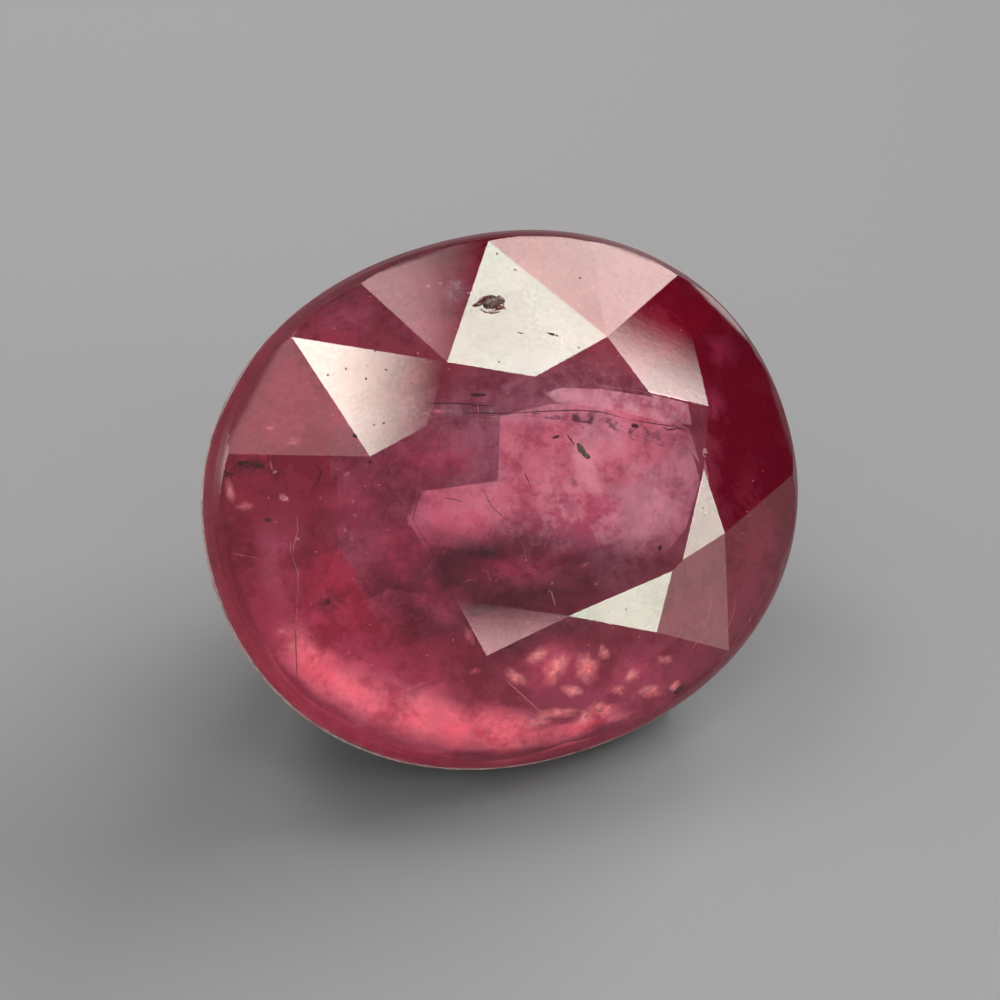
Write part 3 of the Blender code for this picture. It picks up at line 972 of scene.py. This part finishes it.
# Cards smaller than this, in millimetres, are seen mirrored in a facet and glow a little unevenly
MIRRORED_UNDER = 20.0
UNEVENNESS = 0.45

# Glowing patch that only the lower right facet shows: corners in millimetres, colour and strength
FLOOR_PATCH = ((6.9, -2.4), (9.0, -5.3), (13.4, -5.9), (15.0, -4.0))
FLOOR_PATCH_LIFT = 0.01 * MM
FLOOR_PATCH_COLOUR = (1.0, 0.84, 0.78)
FLOOR_PATCH_GLOW = 1.7

# Dark flags that keep the room's light off the right end and the far rim: name, direction in
# degrees, distance and size in millimetres
FLAGS = (
    ("flag", 113.0, 8.5, 85.0, (68.0, 33.4)),
    ("rim_flag", -155.0, 7.5, 200.0, (380.0, 50.0)),
)
FLAG_COLOUR = (0.02, 0.02, 0.02)


def direction(azimuth, elevation):
    """World direction, from degrees round from the viewer's side towards +X and degrees up."""
    a, e = math.radians(azimuth), math.radians(elevation)
    return Vector((math.sin(a) * math.cos(e), -math.cos(a) * math.cos(e), math.sin(e)))


def flat(name, corners, material):
    """Stage object with one face between four corners, given in metres."""
    mesh = bpy.data.meshes.new(name)
    mesh.from_pydata([tuple(corner) for corner in corners], [], [(0, 1, 2, 3)])
    mesh.materials.append(material)
    made = bpy.data.objects.new(name, mesh)
    bpy.context.collection.objects.link(made)
    return made


def matt(name, colour):
    """Material without shine."""
    material, tree = empty_material(name)
    surface = node(tree, "ShaderNodeBsdfPrincipled", None, {
        "Base Color": (*colour, 1.0), "Roughness": 1.0, "Specular IOR Level": 0.0})
    node(tree, "ShaderNodeOutputMaterial", None, {"Surface": surface})
    return material


def shine(tree, colour, power):
    """Let the material of a node tree glow."""
    glow = node(tree, "ShaderNodeEmission", None, {"Color": (*colour, 1.0), "Strength": power})
    node(tree, "ShaderNodeOutputMaterial", None, {"Surface": glow})


def card(name, azimuth, elevation, distance, shift, size, material):
    """Flat card that faces the stone. Returns the directions across and up it, and its middle."""
    towards = direction(azimuth, elevation)
    across = towards.cross(Vector((0.0, 0.0, 1.0))).normalized()
    upward = across.cross(towards).normalized()
    place = STONE_MIDDLE + (towards * distance + across * shift[0] + upward * shift[1]) * MM
    corners = [place + (across * (sx * size[0] / 2) + upward * (sz * size[1] / 2)) * MM
               for sx, sz in ((-1, -1), (1, -1), (1, 1), (-1, 1))]
    flat(name, corners, material).visible_camera = False
    return across, upward, place


def softbox(name, azimuth, elevation, distance, shift, size, strength, colour):
    """Glowing card. Where it fades, its glow falls smoothly to nothing along one direction on it."""
    material, tree = empty_material(name)
    across, upward, place = card(name, azimuth, elevation, distance, shift, size, material)
    power = strength
    if max(size) < MIRRORED_UNDER:
        clouds = noise(tree, size[0] * 0.25, 4.0, 0.6, 2.0)
        power = (clouds * UNEVENNESS + (1.0 - UNEVENNESS / 2)) * strength
    if name in FADES:
        turn, start, end = FADES[name]
        along = across * math.cos(math.radians(turn)) + upward * math.sin(math.radians(turn))
        run = vector_maths(tree, "DOT_PRODUCT", {0: object_place(tree), 1: along[:]}, out=1)
        power = power * ramp(tree, (run - along.dot(place)) * (1.0 / MM), start, end, 1.0, 0.0)
    shine(tree, colour, power)


class RUBELLITE_OT_stage(bpy.types.Operator):
    """Lay the floor, set the light and point the camera"""

    bl_idname = "rubellite.stage"
    bl_label = "Set the stage"

    def execute(self, context):
        scene = context.scene
        settings = scene.rubellite_stage
        half = settings.floor_size / 2
        grey = settings.floor_grey
        corners = [(x * half, y * half, FLOOR) for x, y in ((-1, -1), (1, -1), (1, 1), (-1, 1))]
        flat("floor", corners, matt("floor_grey", (grey, grey * 0.99, grey)))

        world = bpy.data.worlds.new("studio")
        world.use_nodes = True
        tree = world.node_tree
        tree.nodes.clear()
        air = node(tree, "ShaderNodeBackground", None, {
            "Color": (1.0, 0.99, 0.99, 1.0), "Strength": settings.surround})
        node(tree, "ShaderNodeOutputWorld", None, {"Surface": air})
        scene.world = world
        scene.view_settings.view_transform = "Standard"
        scene.cycles.max_bounces = 12
        scene.cycles.glossy_bounces = 10
        scene.cycles.transmission_bounces = 10
        scene.cycles.transparent_max_bounces = 8
        scene.cycles.use_light_tree = False
        scene.cycles.caustics_refractive = False
        for row in SOFTBOXES:
            softbox(*row)
        glowing, tree = empty_material("floor_patch")
        shine(tree, FLOOR_PATCH_COLOUR, FLOOR_PATCH_GLOW)
        corners = [(x * MM, y * MM, FLOOR + FLOOR_PATCH_LIFT) for x, y in FLOOR_PATCH]
        patch = flat("floor_patch", corners, glowing)
        patch.visible_camera = False
        patch.visible_diffuse = False
        patch.visible_shadow = False
        black = matt("flag", FLAG_COLOUR)
        for name, azimuth, elevation, distance, size in FLAGS:
            card(name, azimuth, elevation, distance, (0.0, 0.0), size, black)
        camera(scene)
        return {"FINISHED"}


def camera(scene):
    """Camera at the photo's viewing angle. The stone's middle falls where it does there."""
    lens = bpy.data.cameras.new("camera")
    lens.lens = LENS_MM
    lens.sensor_width = SENSOR_MM
    lens.sensor_fit = "HORIZONTAL"
    lens.clip_start = 0.001
    lens.clip_end = 10.0
    eye = bpy.data.objects.new("camera", lens)
    turn = Matrix((VIEW_RIGHT, VIEW_UP, VIEW_BACK)).transposed().to_4x4()
    eye.matrix_world = Matrix.Translation(EYE) @ turn
    bpy.context.collection.objects.link(eye)
    scene.camera = eye


class RUBELLITE_PT_panel(bpy.types.Panel):
    """Lists the steps and the sizes and colours they use"""

    bl_idname = "RUBELLITE_PT_panel"
    bl_label = "Rubellite"
    bl_space_type = "VIEW_3D"
    bl_region_type = "UI"
    bl_category = "Rubellite"

    def draw(self, context):
        for step in STEPS:
            self.layout.operator(step)
        scene = context.scene
        for group in (scene.rubellite_stone, scene.rubellite_marks, scene.rubellite_stage):
            for name in group.bl_rna.properties.keys():
                if name not in ("rna_type", "name"):
                    self.layout.prop(group, name)


STEPS = (
    "rubellite.stone", "rubellite.veils", "rubellite.marks", "rubellite.grains", "rubellite.girdle",
    "rubellite.stage",
)
CLASSES = (
    StoneSettings, MarkSettings, StageSettings, RUBELLITE_OT_stone, RUBELLITE_OT_veils,
    RUBELLITE_OT_marks, RUBELLITE_OT_grains, RUBELLITE_OT_girdle, RUBELLITE_OT_stage,
    RUBELLITE_PT_panel,
)


def register():
    """Make the settings, the steps and the panel known."""
    for cls in CLASSES:
        bpy.utils.register_class(cls)
    bpy.types.Scene.rubellite_stone = PointerProperty(type=StoneSettings)
    bpy.types.Scene.rubellite_marks = PointerProperty(type=MarkSettings)
    bpy.types.Scene.rubellite_stage = PointerProperty(type=StageSettings)


def unregister():
    """Take them out again."""
    del bpy.types.Scene.rubellite_stage
    del bpy.types.Scene.rubellite_marks
    del bpy.types.Scene.rubellite_stone
    for cls in reversed(CLASSES):
        bpy.utils.unregister_class(cls)


def main():
    """Take the steps in order."""
    register()
    bpy.ops.rubellite.stone()
    bpy.ops.rubellite.veils()
    bpy.ops.rubellite.marks()
    bpy.ops.rubellite.grains()
    bpy.ops.rubellite.girdle()
    bpy.ops.rubellite.stage()


if __name__ == "__main__":
    main()
